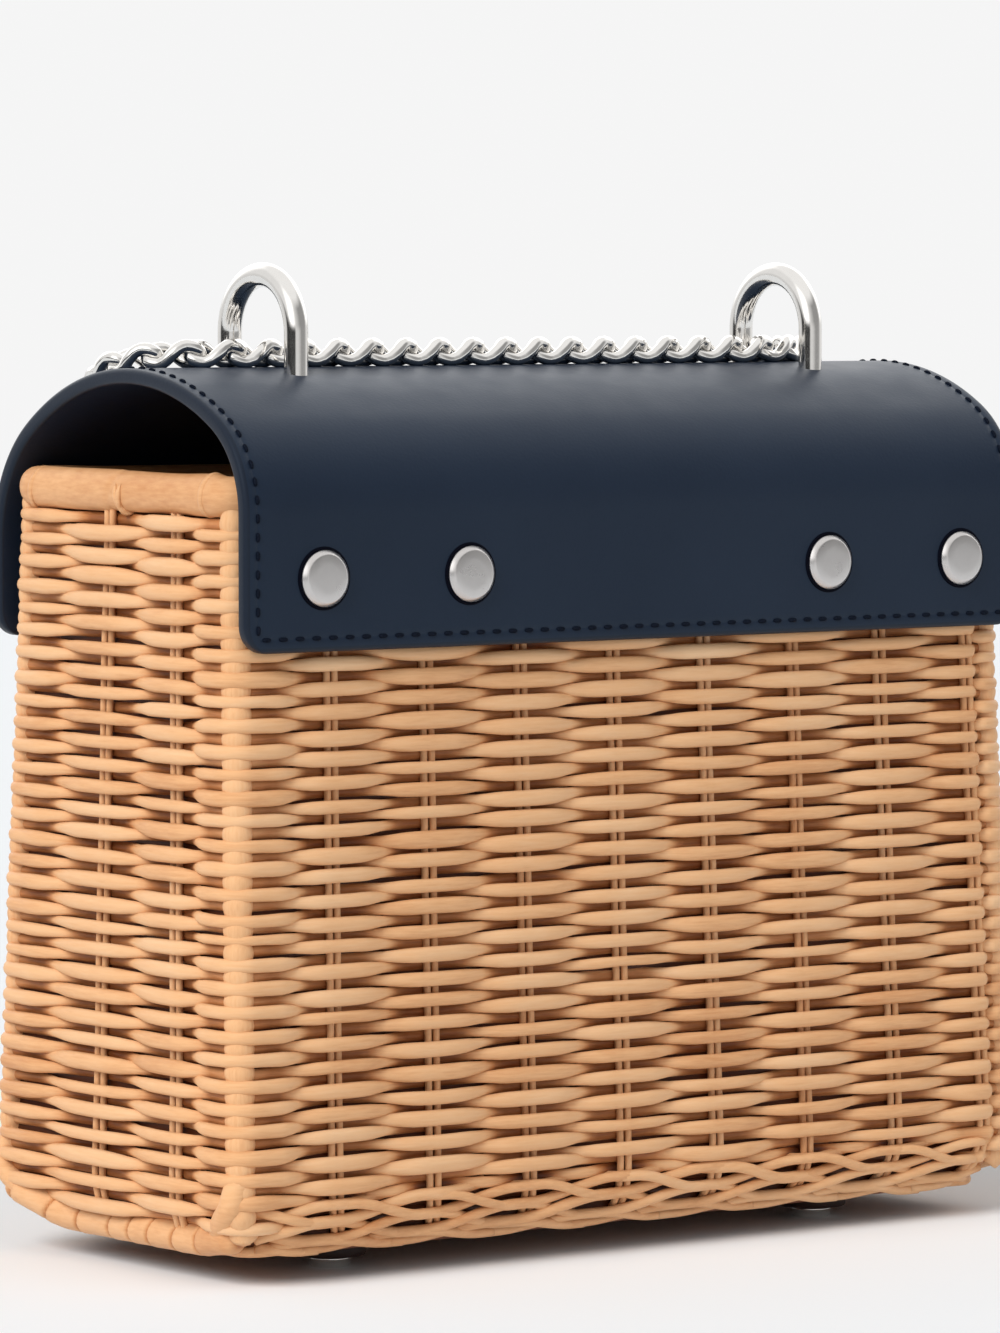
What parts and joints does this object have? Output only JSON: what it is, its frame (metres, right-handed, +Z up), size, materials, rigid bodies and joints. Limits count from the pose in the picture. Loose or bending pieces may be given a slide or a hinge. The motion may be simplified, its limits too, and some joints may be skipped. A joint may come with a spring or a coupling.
{
  "type": "envelope bag",
  "caption": "Rigid wicker handbag with a leather cover riveted to its back, arched over the top as a flap, bar loops with a chain strap, and studded feet.",
  "frame": {"origin": "on the floor, midway between the feet", "axes": "+X along the length, +Y towards the riveted back, +Z up"},
  "size_m": [0.2252, 0.1036, 0.2204],
  "materials": {
    "wicker": "varnished cane",
    "cover_leather": "smooth, semi-gloss",
    "foot_leather": "smooth",
    "nickel": "polished"
  },
  "bodies": {
    "basket": {"woven_walls": "wicker", "rim_roll": "wicker", "base_border": "wicker", "base_panel": "wicker", "back_panel": "cover_leather", "back_rivets": "nickel", "rivet_washers": "nickel", "foot_discs": "foot_leather", "foot_studs": "nickel", "basket_magnet": "nickel", "magnet_washer": "nickel"},
    "flap": {"flap": "cover_leather", "strap_loop_left": "nickel", "strap_loop_right": "nickel", "loop_plates": "nickel", "loop_nuts": "nickel", "chain": "nickel", "flap_magnet": "nickel"}
  },
  "joints": [
    {"name": "lid_hinge", "type": "hinge", "parent": "basket", "child": "flap", "pos_m": [0, 0.04862, 0.1666], "axis": [-1, 0, 0], "range_deg": [0, 110]}
  ]
}
